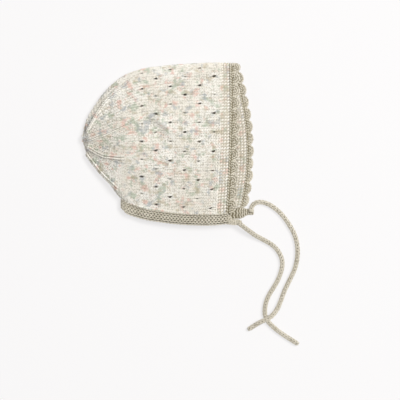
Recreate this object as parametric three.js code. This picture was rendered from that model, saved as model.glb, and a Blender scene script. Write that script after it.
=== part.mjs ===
// A hand-knitted baby bonnet lying on its side, in millimetres.
// +X points out of the face opening, +Y to the top of the head, +Z up from the table.
//
// The bonnet is one knitted bag, folded flat along the middle of the head. Its upper and lower
// layers join along the top fold, round the back of the head and down to the nape. They stay open
// at the face and along the neck. Each piece is a thick sheet laid on that bag or carried on from
// one of its edges.

import * as THREE from "three";

// ---- Driving dimensions -------------------------------------------------------------------

const WALL = 2.6; // plain knitting in a light worsted wool
const FACE_BAND_WALL = 3.2; // purl ridges make the band thicker
const NECK_BAND_WALL = 3.0;
const SCALLOP_WALL = 2.4;
const GAP = 0.3; // between neighbouring pieces

const FACE_BAND_ROWS = 0.06; // share of the rows, face edge to back point, in the ridged band
const NAPE_ROWS = 0.72; // share of the rows where the two neck edges meet at the nape
const OPEN_TO_NAPE = 0.93; // how nearly the neck edges meet before the nape joins them
const BACK_ROWS = 0.985; // the last ring that the cast-off end closes

const TO_MIDDLE = { x: 0.13, y: 0.55 }; // puts the origin under the middle of the bonnet without its ties

const SCALLOPS_PER_LAYER = 12;
const SCALLOP_BASE = 3.6; // depth of the joining row under the shells
const SCALLOP_DEPTH = 9.2; // from the band's edge to a shell's crest
const SCALLOP_GAP = 0.6; // from the face band, whose steps differ from its own
const SCALLOP_CURL = 0.3; // how much shorter the under layer's shells look, as they curl up

const TIE_DIAMETER = 4.7;
const TIE_SIDES = 8;
const TIE_STEP = 8;

// ---- The knitted bag ----------------------------------------------------------------------

// One row for each cross-section, from the face edge to the back point.
// rows: share of the knitted rows. top: the fold. mid: halfway down each layer. near and far:
// the neck edge of the upper and the lower layer, which from the nape on is the back fold.
// fold: radius where the cloth turns under. shoulder: height where that turn ends.
// crest: greatest height. lip: height of the upper layer's neck edge. shut: 1 where the neck
// side is a fold and 0 where it is open.
const SECTIONS = [
  {
    rows: 0, topX: 51.5, topY: 69.2, midNearX: 51.2, midFarX: 65.6, nearX: 48.5, nearY: -59.3,
    farX: 60.5, farY: -54.5, fold: 5.5, shoulder: 11, crest: 25, lip: 13.2, shut: 0,
  },
  {
    rows: 0.06, topX: 43.4, topY: 69.4, midNearX: 43.2, midFarX: 57.0, nearX: 40.0, nearY: -60.3,
    farX: 52.0, farY: -55.2, fold: 5.8, shoulder: 12, crest: 26, lip: 13.2, shut: 0,
  },
  {
    rows: 0.25, topX: 19.5, topY: 68.6, midNearX: 19.5, midFarX: 28.5, nearX: 17.5, nearY: -60.2,
    farX: 25.0, farY: -55.8, fold: 6.2, shoulder: 13, crest: 28, lip: 13.2, shut: 0,
  },
  {
    rows: 0.45, topX: -5.5, topY: 66.6, midNearX: -5.0, midFarX: -1.0, nearX: -5.5, nearY: -58.0,
    farX: -2.0, farY: -54.5, fold: 6.4, shoulder: 13.5, crest: 28.5, lip: 12.6, shut: 0,
  },
  {
    rows: 0.62, topX: -26.5, topY: 63.0, midNearX: -25.5, midFarX: -24.0, nearX: -26.5, nearY: -54.0,
    farX: -25.5, farY: -52.0, fold: 6.4, shoulder: 13.5, crest: 27.5, lip: 11.2, shut: 0.2,
  },
  {
    rows: 0.72, topX: -40.5, topY: 57.2, midNearX: -37.0, midFarX: -37.0, nearX: -41.0, nearY: -47.3,
    farX: -41.0, farY: -47.3, fold: 6.2, shoulder: 12.5, crest: 25.5, lip: 12, shut: 1,
  },
  {
    rows: 0.80, topX: -52.0, topY: 47.6, midNearX: -46.5, midFarX: -46.5, nearX: -52.0, nearY: -33.6,
    farX: -52.0, farY: -33.6, fold: 5.8, shoulder: 11.5, crest: 22.5, lip: 11.5, shut: 1,
  },
  {
    rows: 0.88, topX: -62.5, topY: 34.5, midNearX: -56.5, midFarX: -56.5, nearX: -61.5, nearY: -22.8,
    farX: -61.5, farY: -22.8, fold: 5.2, shoulder: 10, crest: 18.5, lip: 10, shut: 1,
  },
  {
    rows: 0.95, topX: -71.2, topY: 19.5, midNearX: -66.5, midFarX: -66.5, nearX: -70.2, nearY: -10.0,
    farX: -70.2, farY: -10.0, fold: 4.6, shoulder: 8.5, crest: 13.5, lip: 8.5, shut: 1,
  },
  {
    rows: 1, topX: -74.0, topY: 7.5, midNearX: -73.2, midFarX: -73.2, nearX: -73.8, nearY: 1.5,
    farX: -73.8, farY: 1.5, fold: 4.0, shoulder: 7, crest: 8.5, lip: 7, shut: 1,
  },
];

// Soft ridges and dents of the upper layer. Each runs from one point to another, seen from above.
const FOLDS = [
  { name: "ridge inside the back fold, top", x1: -33, y1: 52, x2: -54, y2: 34, width: 3.2, lift: 1.0 },
  { name: "ridge inside the back fold, back", x1: -54, y1: 34, x2: -70, y2: 9, width: 3.2, lift: 1.0 },
  { name: "crown ridge", x1: -24, y1: 23, x2: -70, y2: 2, width: 3.4, lift: 2.2 },
  { name: "hollow under the crown ridge", x1: -28, y1: 14, x2: -66, y2: -3, width: 4.5, lift: -2.0 },
  { name: "lower crown ridge", x1: -37, y1: -12, x2: -70, y2: -4, width: 3.2, lift: 1.0 },
  { name: "ridge inside the back fold, neck", x1: -42, y1: -38, x2: -70, y2: -9, width: 3.0, lift: 0.8 },
  { name: "dent from crown to side", x1: -24, y1: 24, x2: -7, y2: 10, width: 4.5, lift: -2.6 },
  { name: "lower cloth beside the dent", x1: -28, y1: 16, x2: -12, y2: 4, width: 7.0, lift: -2.0 },
  { name: "knob at the dent's end", x1: -7, y1: 18, x2: -2, y2: 14, width: 3.4, lift: 2.4 },
  { name: "crease down the side", x1: -3, y1: 9, x2: 3, y2: -8, width: 5.0, lift: -1.2 },
  { name: "hollow behind the top", x1: -34, y1: 38, x2: -50, y2: 26, width: 6.0, lift: -1.0 },
];

/** A smooth curve through one column of a table, at a place given by another column. */
function readTable(table, key, at, column) {
  let i = 1;
  while (i < table.length - 1 && table[i][key] < at) {
    i += 1;
  }
  const start = table[i - 1];
  const end = table[i];
  const span = end[key] - start[key];
  const slope = (a, b) => (b[column] - a[column]) / (b[key] - a[key]);
  const here = slope(start, end);
  const before = i > 1 ? (slope(table[i - 2], start) + here) / 2 : here;
  const after = i < table.length - 1 ? (here + slope(end, table[i + 1])) / 2 : here;
  const t = (at - start[key]) / span;
  if (t < 0) {
    return start[column] + before * t * span;
  }
  const t2 = t * t;
  const t3 = t2 * t;
  return (
    start[column] * (2 * t3 - 3 * t2 + 1) + before * span * (t3 - 2 * t2 + t)
    + end[column] * (3 * t2 - 2 * t3) + after * span * (t3 - t2)
  );
}

function sectionAt(rows) {
  const section = {};
  for (const column of Object.keys(SECTIONS[0])) {
    section[column] = readTable(SECTIONS, "rows", rows, column);
  }
  return section;
}

/** How far a round turn of this radius has come, 0 at the fold and 1 where it ends. */
function turn(distance, radius) {
  const left = 1 - Math.min(distance / radius, 1);
  return Math.sqrt(1 - left * left);
}

/** The sum of the soft ridges and dents at a point seen from above. */
function foldLift(x, y) {
  let lift = 0;
  for (const fold of FOLDS) {
    const alongX = fold.x2 - fold.x1;
    const alongY = fold.y2 - fold.y1;
    const share = ((x - fold.x1) * alongX + (y - fold.y1) * alongY) / (alongX ** 2 + alongY ** 2);
    const near = THREE.MathUtils.clamp(share, 0, 1);
    const away = Math.hypot(x - fold.x1 - near * alongX, y - fold.y1 - near * alongY);
    lift += fold.lift * Math.exp(-((away / fold.width) ** 2));
  }
  return lift;
}

const SHOULDER_RUN = 11; // how far in from the fold the shoulder lies

/** A point on one layer's outside, s = 0 at the neck and 1 at the top fold. */
function layerPoint(section, upper, s) {
  const lowX = upper ? section.nearX : section.farX;
  const lowY = upper ? section.nearY : section.farY;
  const midX = upper ? section.midNearX : section.midFarX;
  const bow = 4 * s * (1 - s) * (midX - (lowX + section.topX) / 2);
  const x = lowX + (section.topX - lowX) * s + bow;
  const y = lowY + (section.topY - lowY) * s;
  const height = Math.hypot(section.topX - lowX, section.topY - lowY);
  const fromTop = (1 - s) * height;
  const fromLow = s * height;
  if (!upper) {
    const radius = Math.min(section.fold, height * 0.45);
    const rise = 2 - turn(fromTop, radius) - THREE.MathUtils.lerp(1, turn(fromLow, radius), section.shut);
    return new THREE.Vector3(x, y, Math.max(0, section.fold * rise));
  }
  const run = Math.min(SHOULDER_RUN, height * 0.45);
  const rim = THREE.MathUtils.lerp(section.lip, section.shoulder, s);
  const closing = turn(fromTop, run) * THREE.MathUtils.lerp(1, turn(fromLow, run), section.shut);
  const dome = Math.sin(Math.PI * s) ** 1.3;
  const inFromLow = fromLow / SHOULDER_RUN + 1 - section.shut;
  const settled = Math.min(1, fromTop / SHOULDER_RUN) * Math.min(1, inFromLow);
  const z = section.fold + (rim - section.fold) * closing + (section.crest - rim) * dome;
  return new THREE.Vector3(x, y, z + foldLift(x, y) * settled);
}

/** count + 1 points spread evenly along one layer, from the neck to the top fold. */
function layerLine(section, upper, count) {
  const fine = [];
  const steps = 240;
  for (let k = 0; k <= steps; k += 1) {
    fine.push(layerPoint(section, upper, Math.sin((Math.PI / 2) * (k / steps))));
  }
  const reached = [0];
  for (let k = 1; k <= steps; k += 1) {
    reached.push(reached[k - 1] + fine[k].distanceTo(fine[k - 1]));
  }
  const line = [];
  let k = 1;
  for (let n = 0; n <= count; n += 1) {
    const at = (reached[steps] * n) / count;
    while (k < steps && reached[k] < at) {
      k += 1;
    }
    const share = (at - reached[k - 1]) / (reached[k] - reached[k - 1]);
    line.push(new THREE.Vector3().lerpVectors(fine[k - 1], fine[k], share));
  }
  return line;
}

/** The bag's outside at one section: up the upper layer, over the fold and down the lower one. */
function ring(rows, perLayer) {
  const section = sectionAt(rows);
  if (rows < NAPE_ROWS) {
    section.shut = THREE.MathUtils.clamp(section.shut, 0, OPEN_TO_NAPE);
  }
  const up = layerLine(section, true, perLayer);
  const down = layerLine(section, false, perLayer).reverse();
  return up.concat(down.slice(1));
}

const PER_LAYER = 22; // straight steps round each layer
const ROWS_LENGTH = 124; // face edge to back point, along the middle of a layer
const GAP_ROWS = GAP / ROWS_LENGTH;
const NORMAL_STEP = 0.004; // how far along the rows a wall's direction is measured

// ---- Thick sheets --------------------------------------------------------------------------

/** Turns a list of triangle corner indices into a closed mesh geometry. */
function geometryOf(points, corners) {
  const geometry = new THREE.BufferGeometry();
  geometry.setAttribute("position", new THREE.Float32BufferAttribute(points.flatMap((p) => p.toArray()), 3));
  geometry.setIndex(corners);
  geometry.computeVertexNormals();
  return geometry;
}

/** Outward normals of a grid of points, grid[i][j], from its neighbours. */
function gridNormals(grid) {
  return grid.map((line, i) => {
    const before = grid[Math.max(i - 1, 0)];
    const after = grid[Math.min(i + 1, grid.length - 1)];
    return lineNormals(line, before, after, false);
  });
}

/** Outward normals along one line of a grid, from the lines before and after it. */
function lineNormals(line, before, after, closed) {
  const n = line.length;
  return line.map((point, j) => {
    const left = closed ? line[(j + n - 1) % n] : line[Math.max(j - 1, 0)];
    const right = closed ? line[(j + 1) % n] : line[Math.min(j + 1, n - 1)];
    const across = new THREE.Vector3().subVectors(right, left);
    const along = new THREE.Vector3().subVectors(after[j], before[j]);
    return across.cross(along).normalize();
  });
}

/** A grid of outside points, thickened inward to a closed sheet. capped closes the last ring. */
function thickSheet(grid, wall, { closed = false, capped = false, normals = gridNormals(grid) } = {}) {
  const rows = grid.length;
  const columns = grid[0].length;
  const points = [];
  for (const inner of [false, true]) {
    for (let i = 0; i < rows; i += 1) {
      for (let j = 0; j < columns; j += 1) {
        const point = grid[i][j].clone();
        points.push(inner ? point.addScaledVector(normals[i][j], -wall) : point);
      }
    }
  }
  const outside = (i, j) => i * columns + (j % columns);
  const inside = (i, j) => rows * columns + outside(i, j);
  const corners = [];
  const quad = (a, b, c, d) => corners.push(a, b, c, a, c, d);
  const last = closed ? columns : columns - 1;
  for (let i = 0; i < rows - 1; i += 1) {
    for (let j = 0; j < last; j += 1) {
      quad(outside(i, j), outside(i, j + 1), outside(i + 1, j + 1), outside(i + 1, j));
      quad(inside(i, j), inside(i + 1, j), inside(i + 1, j + 1), inside(i, j + 1));
    }
  }
  for (let j = 0; j < last; j += 1) {
    quad(outside(0, j), inside(0, j), inside(0, j + 1), outside(0, j + 1));
    if (!capped) {
      const i = rows - 1;
      quad(outside(i, j), outside(i, j + 1), inside(i, j + 1), inside(i, j));
    }
  }
  if (capped) {
    for (const side of [outside, inside]) {
      const middle = new THREE.Vector3();
      for (let j = 0; j < columns; j += 1) {
        middle.addScaledVector(points[side(rows - 1, j)], 1 / columns);
      }
      points.push(middle);
      for (let j = 0; j < columns; j += 1) {
        const a = side(rows - 1, j);
        const b = side(rows - 1, j + 1);
        corners.push(...(side === outside ? [a, b, points.length - 1] : [b, a, points.length - 1]));
      }
    }
  }
  if (!closed) {
    for (let i = 0; i < rows - 1; i += 1) {
      quad(outside(i, 0), outside(i + 1, 0), inside(i + 1, 0), inside(i, 0));
      const j = columns - 1;
      quad(outside(i, j), inside(i, j), inside(i + 1, j), outside(i + 1, j));
    }
  }
  return geometryOf(points, corners);
}

/** A stretch of the bag's wall, from one share of the rows to another. */
function bagWall(from, to, count, wall, closed = false) {
  const grid = [];
  const normals = [];
  const keep = closed ? -1 : undefined;
  for (let i = 0; i <= count; i += 1) {
    const rows = THREE.MathUtils.lerp(from, to, i / count);
    const line = ring(rows, PER_LAYER).slice(0, keep);
    const before = ring(rows - NORMAL_STEP, PER_LAYER).slice(0, keep);
    const after = ring(rows + NORMAL_STEP, PER_LAYER).slice(0, keep);
    grid.push(line);
    normals.push(lineNormals(line, before, after, closed));
  }
  return thickSheet(grid, wall, { closed, capped: closed, normals });
}

// ---- Body, crown and face band ---------------------------------------------------------------

function makeBody() {
  return bagWall(FACE_BAND_ROWS + GAP_ROWS, NAPE_ROWS - 2 * GAP_ROWS, 14, WALL);
}

function makeCrown() {
  return bagWall(NAPE_ROWS, BACK_ROWS, 9, WALL, true);
}

function makeFaceBand() {
  return bagWall(0, FACE_BAND_ROWS, 2, FACE_BAND_WALL);
}

// ---- Scalloped edge --------------------------------------------------------------------------

const SCALLOP_STEPS = 8; // straight steps round one shell

/** Depth of the edging at a step along the face edge, from notch over crest to notch. */
function scallopDepth(step, perLayer) {
  const across = (step % SCALLOP_STEPS) / SCALLOP_STEPS;
  const full = SCALLOP_BASE + (SCALLOP_DEPTH - SCALLOP_BASE) * Math.sin(Math.PI * across) ** 0.6;
  const under = THREE.MathUtils.smoothstep(step / perLayer, 1, 1.3);
  return full * (1 - SCALLOP_CURL * under);
}

function makeScallopEdge() {
  const perLayer = SCALLOPS_PER_LAYER * SCALLOP_STEPS;
  const edge = ring(0, perLayer);
  const behind = ring(FACE_BAND_ROWS / 2, perLayer);
  const border = [];
  const joining = [];
  const rim = [];
  edge.forEach((point, j) => {
    const out = new THREE.Vector3().subVectors(point, behind[j]).normalize();
    const depth = scallopDepth(j, perLayer);
    const beyond = (distance) => {
      const place = point.clone().addScaledVector(out, distance);
      return place.setZ(Math.max(0, place.z));
    };
    border.push(beyond(SCALLOP_GAP));
    joining.push(beyond(SCALLOP_BASE * 0.6));
    rim.push(beyond(depth));
  });
  return thickSheet([rim, joining, border], SCALLOP_WALL);
}

// ---- Neck band ---------------------------------------------------------------------------------

const BAND_GAP = 2 * GAP; // from the body's edge, whose steps differ from the band's
const NECK_BAND_WIDTH = 9.3;
const NECK_BAND_END_WIDTH = 4.8; // it narrows past the face edge, to the tie
const NECK_BAND_REACH = 12.5; // how far it runs on past the face edge
const NECK_BAND_SAG = 2.0; // how much lower the upper layer's free border lies
const NAPE_TURN = 4.8; // outside radius of the turn round the nape
const NAPE_TURN_X = -37.0;
const UPPER_END_DROP = 5.8; // how far its end dips toward the neck, on the upper layer
const LOWER_END_DROP = 1.6;

/** Where the band's inner border and width are, this far past the face edge. */
function bandEnd(upper, beyond) {
  const corner = layerPoint(sectionAt(0), upper, 0);
  const bend = THREE.MathUtils.smoothstep(beyond, 0, NECK_BAND_REACH * 0.6);
  const drop = upper ? UPPER_END_DROP : LOWER_END_DROP;
  const left = NECK_BAND_REACH - beyond;
  const round = left < 2 ? Math.sqrt(1 - (1 - left / 2) ** 2) : 1;
  const full = THREE.MathUtils.lerp(NECK_BAND_WIDTH, NECK_BAND_END_WIDTH, bend);
  const width = full * (0.3 + 0.7 * round);
  const z = upper ? corner.z - 3 * bend : 0;
  const tuck = (full - width) / 2;
  return { x: corner.x + beyond, y: corner.y - drop * bend - BAND_GAP - tuck, z, width };
}

/** The band beside the neck edge, at a share of the rows between the face edge and the nape. */
function bandBeside(upper, rows) {
  const edge = layerPoint(sectionAt(rows), upper, 0);
  const toTurn = THREE.MathUtils.smoothstep(rows, 0.55, 0.69);
  const z = upper ? THREE.MathUtils.lerp(edge.z, 2 * NAPE_TURN, toTurn) : 0;
  return { x: edge.x, y: edge.y - BAND_GAP, z, width: NECK_BAND_WIDTH };
}

/** The band's turn round the nape, from the upper layer at 0 to the lower one at 1. */
function bandTurn(share) {
  const angle = Math.PI * share;
  const out = Math.sin(angle);
  return {
    x: NAPE_TURN_X - NAPE_TURN * out,
    y: -49.6 + 2.0 * out - BAND_GAP,
    z: NAPE_TURN * (1 + Math.cos(angle)),
    width: NECK_BAND_WIDTH - 2.6 * out,
  };
}

function makeNeckBand() {
  const stations = [];
  const endSteps = 5;
  const sideSteps = 14;
  const turnSteps = 8;
  const turnRows = 0.69;
  for (let k = 0; k < endSteps; k += 1) {
    stations.push({ upper: 1, ...bandEnd(true, NECK_BAND_REACH * (1 - k / endSteps)) });
  }
  for (let k = 0; k <= sideSteps; k += 1) {
    stations.push({ upper: 1, ...bandBeside(true, (turnRows * k) / sideSteps) });
  }
  for (let k = 1; k < turnSteps; k += 1) {
    stations.push({ upper: 1 - k / turnSteps, ...bandTurn(k / turnSteps) });
  }
  for (let k = sideSteps; k >= 0; k -= 1) {
    stations.push({ upper: 0, ...bandBeside(false, (turnRows * k) / sideSteps) });
  }
  for (let k = endSteps - 1; k >= 0; k -= 1) {
    stations.push({ upper: 0, ...bandEnd(false, NECK_BAND_REACH * (1 - k / endSteps)) });
  }
  const border = (share) => stations.map((at) => new THREE.Vector3(
    at.x,
    at.y - at.width * share,
    at.z - NECK_BAND_SAG * share * share * at.upper * Math.min(1, at.z / 12),
  ));
  return thickSheet([border(0), border(0.5), border(1)], NECK_BAND_WALL);
}

// ---- Ties ---------------------------------------------------------------------------------------

// Each route runs from the band's end to the tie's free end. The points are x, y, z.
const TIE_NEAR_ROUTE = [
  [61.2, -69.1, 8.6], [65.2, -72.2, 8.0], [69.4, -75.3, 6.5], [74.0, -78.5, 4.5], [79.0, -81.2, 2.9],
  [83.5, -83.6, 2.4], [88.0, -86.4, 2.4], [91.8, -90.0, 2.4], [94.6, -94.3, 2.4], [96.4, -99.2, 2.4],
  [96.6, -104.4, 2.4], [95.4, -109.8, 2.4], [93.0, -116.0, 2.4], [89.6, -122.2, 2.4], [85.8, -128.3, 2.4],
  [83.0, -134.5, 2.4], [81.8, -141.0, 2.4], [82.0, -146.4, 2.4], [84.2, -151.4, 2.4], [88.4, -155.9, 2.4],
  [94.4, -160.8, 2.4], [102.0, -165.9, 2.4], [110.7, -171.3, 2.4],
];
const TIE_FAR_ROUTE = [
  [69.9, -56.1, 2.5], [71.2, -52.9, 2.5], [73.8, -50.6, 2.4], [77.0, -49.8, 2.4], [80.8, -50.2, 2.4],
  [85.2, -51.8, 2.4], [91.0, -55.6, 2.4], [97.0, -61.4, 2.4], [102.3, -68.8, 2.4], [106.8, -77.0, 2.4],
  [109.3, -86.5, 2.4], [109.5, -96.5, 2.4], [107.4, -106.5, 2.4], [103.4, -115.4, 2.4], [99.0, -124.5, 2.4],
  [95.8, -133.0, 2.6], [92.2, -141.0, 4.2], [87.6, -146.6, 6.9], [82.6, -149.6, 7.7], [77.6, -152.0, 6.3],
  [73.2, -154.8, 4.0], [70.0, -157.0, 2.7], [67.0, -158.8, 2.4],
];

function makeTie(route) {
  const path = new THREE.CatmullRomCurve3(route.map((point) => new THREE.Vector3(...point)));
  const section = new THREE.Shape();
  for (let k = 0; k < TIE_SIDES; k += 1) {
    const angle = (2 * Math.PI * (k + 0.5)) / TIE_SIDES;
    const x = (TIE_DIAMETER / 2) * Math.cos(angle);
    const y = (TIE_DIAMETER / 2) * Math.sin(angle);
    if (k === 0) {
      section.moveTo(x, y);
    } else {
      section.lineTo(x, y);
    }
  }
  section.closePath();
  const steps = Math.round(path.getLength() / TIE_STEP);
  return new THREE.ExtrudeGeometry(section, { steps, extrudePath: path, bevelEnabled: false });
}

// ---- Assembly ---------------------------------------------------------------------------------

const IVORY = { color: 0xe2dccf, roughness: 0.95, metalness: 0 };
const GREIGE = { color: 0xbdb7a6, roughness: 0.95, metalness: 0 };

const bonnet = new THREE.Group();
bonnet.position.set(TO_MIDDLE.x, TO_MIDDLE.y, 0);

function addPiece(name, geometry, look) {
  const piece = new THREE.Mesh(geometry, new THREE.MeshStandardMaterial(look));
  piece.name = name;
  bonnet.add(piece);
}

addPiece("lace_body", makeBody(), IVORY);
addPiece("crown", makeCrown(), IVORY);
addPiece("face_band", makeFaceBand(), IVORY);
addPiece("scallop_edge", makeScallopEdge(), GREIGE);
addPiece("neck_band", makeNeckBand(), GREIGE);
addPiece("tie_near", makeTie(TIE_NEAR_ROUTE), GREIGE);
addPiece("tie_far", makeTie(TIE_FAR_ROUTE), GREIGE);

export default bonnet;
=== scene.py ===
# %% [markdown]
# # A hand-knitted baby bonnet, lying on its side
# The bonnet is one knitted bag of speckled ivory wool, folded flat along the middle of the head.
# A greige crochet edge runs round the face, and a greige knitted band runs along the neck and
# carries on as two cord ties. This notebook builds every stitch as a bent tube of yarn, because
# on a knitted thing the stitches are the shape: a smooth wall with a bump map looks like felt.

# %% Load the frame
import math

import bpy
import numpy as np
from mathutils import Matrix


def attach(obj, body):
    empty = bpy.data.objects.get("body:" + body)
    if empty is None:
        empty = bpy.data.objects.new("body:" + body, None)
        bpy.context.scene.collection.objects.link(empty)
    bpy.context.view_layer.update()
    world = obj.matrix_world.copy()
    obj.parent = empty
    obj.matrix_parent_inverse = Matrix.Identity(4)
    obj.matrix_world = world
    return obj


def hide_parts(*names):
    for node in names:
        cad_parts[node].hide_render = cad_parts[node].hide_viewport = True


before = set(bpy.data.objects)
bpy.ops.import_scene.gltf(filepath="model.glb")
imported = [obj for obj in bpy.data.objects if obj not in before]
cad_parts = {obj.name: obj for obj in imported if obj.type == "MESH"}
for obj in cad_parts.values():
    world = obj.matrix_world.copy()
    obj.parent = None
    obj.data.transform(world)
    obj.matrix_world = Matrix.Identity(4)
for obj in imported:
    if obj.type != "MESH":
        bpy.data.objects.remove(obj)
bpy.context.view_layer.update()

MM = 0.001  # the tables below are in millimetres, and meshes are made in metres
scene = bpy.context.scene

# %% [markdown]
# ## The camera
# The bonnet is looked at from straight above, from far away through a long lens, so that the top
# layer isn't drawn much larger than the table. A shorter lens nearer by would show the same
# outline with the near parts swollen. Camera and cords come first, because they decide how much
# room the ties may take.

# %% The camera
VIEW_SPAN = 0.340  # width of the table in view
CAMERA_HEIGHT = 1.30
MIDDLE_HEIGHT = 0.008  # the height where the span is measured
SENSOR = 36.0
camera_data = bpy.data.cameras.new("camera")
camera_data.sensor_width = SENSOR
camera_data.lens = SENSOR * (CAMERA_HEIGHT - MIDDLE_HEIGHT) / VIEW_SPAN
camera_data.clip_end = 10
camera = bpy.data.objects.new("camera", camera_data)
camera.location = (0.0265, -0.0475, CAMERA_HEIGHT)
scene.collection.objects.link(camera)
scene.camera = camera
print("lens", round(camera_data.lens, 1), "mm")

# %% [markdown]
# ## A tube of yarn
# Yarn is a long round tube. Blender can bevel a curve, but a knitted wall has thousands of loops
# that must lean with the cloth under them, and each needs to know how far along its yarn it is,
# for the dye. So one helper turns lines of points into tubes. Every ring of a tube is set by the
# direction of the yarn and the direction out of the cloth, so that it never twists.

# %% Yarn tubes
YARN_SIDES = 5


def unit(vectors):
    """Vectors brought to length 1."""
    return vectors / np.maximum(np.linalg.norm(vectors, axis=-1, keepdims=True), 1e-12)


def reached(line):
    """How far along a line each of its points is."""
    return np.concatenate([[0], np.cumsum(np.linalg.norm(np.diff(line, axis=0), axis=1))])


def read_line(at, reach, values):
    """Values known at the places reach, read at others."""
    return np.stack([np.interp(at, reach, column) for column in values.T], axis=-1)


class Strands:
    """Collects tubes of yarn, and makes them one mesh."""

    def __init__(self):
        self.points, self.quads, self.caps = [], [], []
        self.quad_marks, self.cap_marks = [], []
        self.count = 0

    def add(self, line, out, radius, course):
        """A tube along line. out points out of the cloth at each of its points, in millimetres."""
        line, sides = np.asarray(line, float), YARN_SIDES
        n = len(line)
        ahead = unit(np.gradient(line, axis=0))
        aside = unit(np.cross(ahead, out))
        upward = np.cross(aside, ahead)
        angle = np.linspace(0, 2 * math.pi, sides, endpoint=False)[None, :, None]
        ring = np.cos(angle) * upward[:, None, :] + np.sin(angle) * aside[:, None, :]
        radius = np.broadcast_to(radius, (n,))[:, None, None]
        self.points.append((line[:, None, :] + radius * ring).reshape(-1, 3))
        i = np.arange(n - 1)[:, None] * sides
        k = np.arange(sides)[None, :]
        k2 = (k + 1) % sides
        quads = np.stack([i + k, i + k2, i + sides + k2, i + sides + k], axis=-1)
        self.quads.append(quads.reshape(-1, 4) + self.count)
        along = reached(line)
        u = np.stack([along[:-1], along[:-1], along[1:], along[1:]], axis=-1)[:, None, :]
        v = np.stack([k[0], k[0] + 1, k[0] + 1, k[0]], axis=-1)[None, :, :] / sides
        u, v = np.broadcast_arrays(u, course + v / 2)
        self.quad_marks.append(np.stack([u, v], axis=-1).reshape(-1, 2))
        last = (n - 1) * sides + self.count
        self.caps.extend([np.arange(sides)[::-1] + self.count, np.arange(sides) + last])
        self.cap_marks.append(np.full((2 * sides, 2), course + 0.25))
        self.count += n * sides

    def mesh(self, name):
        """All the tubes so far as one piece."""
        marks = np.concatenate(self.quad_marks + self.cap_marks)
        return new_piece(name, np.concatenate(self.points) * MM,
                         [np.concatenate(self.quads), np.array(self.caps)], marks)


print("a yarn is a tube with", YARN_SIDES, "sides")

# %% [markdown]
# ## A piece from its points
# The operators of edit mode act on what is selected, which suits a shape made in a few steps. Here
# the place of every point is already worked out and there are hundreds of thousands, so the mesh
# is filled in one go from lists of points and faces. Cloth that lies on a table is pressed flat
# where it touches. A curve that keeps every height above zero, and leaves what is a millimetre up
# almost alone, does the same to each piece.

# %% Make a piece
TABLE_SOFTNESS = 0.4 * MM


def new_piece(name, points, faces, marks):
    """An object from points in metres, lists of faces, and a mark of the yarn for each corner.
    What would dip below the table is gently pressed up onto it."""
    points = points.copy()
    points[:, 2] = TABLE_SOFTNESS * np.logaddexp(0, points[:, 2] / TABLE_SOFTNESS)
    corners = np.concatenate([group.reshape(-1) for group in faces]).astype(np.int32)
    sizes = np.concatenate([np.full(len(group), group.shape[1]) for group in faces])
    sizes = sizes.astype(np.int32)
    mesh = bpy.data.meshes.new(name)
    mesh.vertices.add(len(points))
    mesh.vertices.foreach_set("co", points.astype(np.float32).reshape(-1))
    mesh.loops.add(len(corners))
    mesh.loops.foreach_set("vertex_index", corners)
    mesh.polygons.add(len(sizes))
    starts = np.concatenate([[0], np.cumsum(sizes)[:-1]]).astype(np.int32)
    mesh.polygons.foreach_set("loop_start", starts)
    mesh.polygons.foreach_set("use_smooth", np.ones(len(sizes), bool))
    layer = mesh.uv_layers.new(name="Yarn")
    layer.uv.foreach_set("vector", marks.astype(np.float32).reshape(-1))
    mesh.update(calc_edges=True)
    mesh.validate()
    piece = bpy.data.objects.new(name, mesh)
    scene.collection.objects.link(piece)
    print(f"{name}: {(sizes - 2).sum()} triangles")
    return piece


print("pieces are pressed onto the table over", TABLE_SOFTNESS / MM, "mm")

# %% [markdown]
# ## A wall inside the knitting
# Real yarn is hairy and fills its own gaps, and a smooth tube doesn't. So a thin wall stands in
# the middle of each knitted part, between the legs of the loops, which show outside, and their
# tops, which show inside. It is coloured with painted shade, the wool made darker. Solidify could
# thicken a sheet as well. Here both sides, the rims of the holes and the second material, for the
# side that faces the head, come from one grid.

# %% Make a wall
def thick_sheet(name, points, out, depth, wall, keep=None, closed=False):
    """A closed wall from a grid of places. depth is how far under them it starts. keep says which
    cells are there, and closed joins the last column to the first."""
    rows, columns = points.shape[:2]
    if keep is None:
        keep = np.ones((rows - 1, columns - (0 if closed else 1)), bool)
    top = points - out * depth
    under = points - out * (depth + wall)
    index = np.arange(rows * columns).reshape(rows, columns)
    if closed:
        index = np.concatenate([index, index[:, :1]], axis=1)
    a, b = index[:-1, :-1], index[:-1, 1:]
    c, d = index[1:, 1:], index[1:, :-1]
    lower = rows * columns
    faces = [np.stack([a, b, c, d], -1)[keep], np.stack([a, d, c, b], -1)[keep] + lower]
    padded = np.pad(keep, 1)
    if closed:
        padded[1:-1, 0], padded[1:-1, -1] = keep[:, -1], keep[:, 0]
    sides = [
        (padded[:-2, 1:-1], a, b), (padded[2:, 1:-1], c, d),
        (padded[1:-1, :-2], d, a), (padded[1:-1, 2:], b, c),
    ]
    for beyond, start, end in sides:
        edge = keep & ~beyond
        faces.append(np.stack([start + lower, end + lower, end, start], -1)[edge])
    used = np.unique(np.concatenate([f.reshape(-1) for f in faces]))
    again = np.zeros(2 * lower, int)
    again[used] = np.arange(len(used))
    both = np.concatenate([top.reshape(-1, 3), under.reshape(-1, 3)])[used] * MM
    faces = [again[group] for group in faces]
    marks = both[np.concatenate([group.reshape(-1) for group in faces]), :2] / MM
    sheet = new_piece(name, both, faces, marks)
    # The side that faces the head takes the wall's second material; both of a wall's materials are
    # painted shade.
    inside = np.zeros(len(sheet.data.polygons), np.int32)
    inside[keep.sum():2 * keep.sum()] = 1
    sheet.data.polygons.foreach_set("material_index", inside)
    return sheet


print("walls are closed all round, holes included")

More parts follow.
